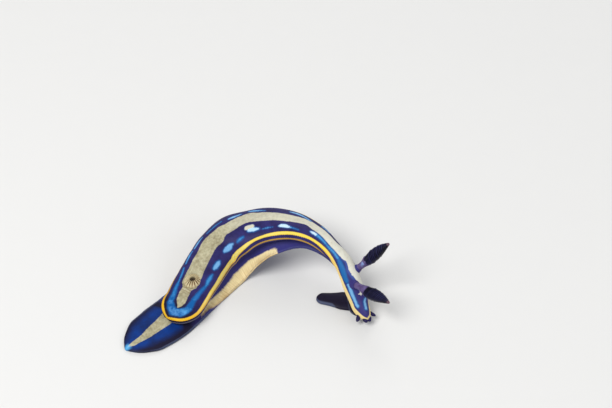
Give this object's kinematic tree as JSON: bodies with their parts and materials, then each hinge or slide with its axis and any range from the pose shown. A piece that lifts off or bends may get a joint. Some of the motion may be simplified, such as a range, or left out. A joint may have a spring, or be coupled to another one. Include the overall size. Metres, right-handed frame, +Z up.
{
  "type": "nudibranch",
  "caption": "Slender sea slug model at life size, body arched over with the tail and the front of the foot on the floor, with ringed rhinophores and a gill pocket.",
  "frame": {"origin": "on the floor, under the middle of the footprint of the whole animal", "axes": "+X from the tail towards the head, +Z up from the floor, -Y towards the inside of the body's bend"},
  "size_m": [0.0282, 0.0172, 0.0075],
  "materials": {
    "skin": "wet satin skin, navy with cream, yellow and light blue markings",
    "gill_skin": "wet satin skin, cream with brown creases",
    "rhinophore_skin": "wet satin skin, near-black indigo"
  },
  "bodies": {
    "root": {"tail": "skin", "foot_rear": "skin", "foot_mid": "skin", "foot_front": "skin", "mantle_rear": "skin", "mantle_mid": "skin", "mantle_front": "skin", "head": "skin", "gills": "gill_skin", "rhinophore_left": "rhinophore_skin", "rhinophore_right": "rhinophore_skin"}
  },
  "joints": []
}
